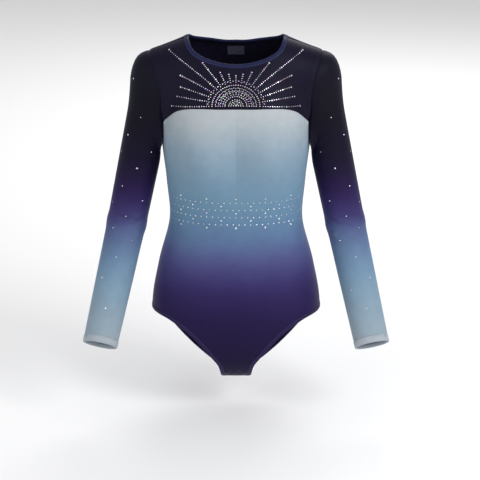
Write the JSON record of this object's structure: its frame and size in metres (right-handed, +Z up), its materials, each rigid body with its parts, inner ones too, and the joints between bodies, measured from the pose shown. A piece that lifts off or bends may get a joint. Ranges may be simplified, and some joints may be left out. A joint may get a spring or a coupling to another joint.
{
  "type": "gymnastics leotard",
  "caption": "long-sleeved gymnastics leotard with a dark stoned yoke, dyed body and sleeves, high-cut legs and sleeves that swing out at the armholes",
  "frame": {"origin": "in the middle of the neck opening, level with the sides of the neck, where the wearer's shoulders or a hanger carry the garment", "axes": "+Z up the wearer, the front faces -Y, +X is the wearer's left"},
  "size_m": [0.5786, 0.247, 0.6636],
  "materials": {
    "yoke_cloth": "matte nylon and elastane knit, midnight navy",
    "body_cloth": "the same knit, dyed from silver blue down to violet",
    "sleeve_cloth": "the same knit, dyed from navy through violet to silver blue",
    "band_cloth": "folded binding, navy",
    "leg_band_cloth": "turned hem, dark violet",
    "cuff_cloth": "turned hem, silver blue",
    "elastic": "woven elastic tape",
    "lining": "soft tricot, cream",
    "thread": "overlocked seam allowance and thread",
    "label": "blank woven satin",
    "stone": "faceted hot-fix stones, clear with a coloured coat"
  },
  "bodies": {
    "bodice": {"front_yoke": "yoke_cloth", "back_yoke": "yoke_cloth", "front_body": "body_cloth", "back_body": "body_cloth", "neck_band": "band_cloth", "neck_elastic": "elastic", "front_lining": "lining", "crotch_lining": "lining", "size_label": "label", "care_label": "label", "front_yoke_seam": "thread", "back_yoke_seam": "thread", "crotch_seam": "thread", "sunburst_stones": "stone", "leg_band_left": "leg_band_cloth", "leg_band_right": "leg_band_cloth", "leg_elastic_left": "elastic", "leg_elastic_right": "elastic", "armhole_seam_left": "thread", "armhole_seam_right": "thread", "shoulder_seam_left": "thread", "shoulder_seam_right": "thread", "side_seam_left": "thread", "side_seam_right": "thread", "waist_stones_row_1": "stone", "waist_stones_row_2": "stone", "waist_stones_row_3": "stone", "waist_stones_row_4": "stone"},
    "sleeve_left": {"sleeve_left": "sleeve_cloth", "cuff_hem_left": "cuff_cloth", "wrist_elastic_left": "elastic", "underarm_seam_left": "thread"},
    "sleeve_right": {"sleeve_right": "sleeve_cloth", "cuff_hem_right": "cuff_cloth", "wrist_elastic_right": "elastic", "underarm_seam_right": "thread"}
  },
  "joints": [
    {"name": "raise_left_sleeve", "type": "hinge", "parent": "bodice", "child": "sleeve_left", "pos_m": [0.1621, 0, -0.026], "axis": [0, -1, 0], "range_deg": [0, 25]},
    {"name": "raise_right_sleeve", "type": "hinge", "parent": "bodice", "child": "sleeve_right", "pos_m": [-0.1621, 0, -0.026], "axis": [0, 1, 0], "range_deg": [0, 25]}
  ]
}
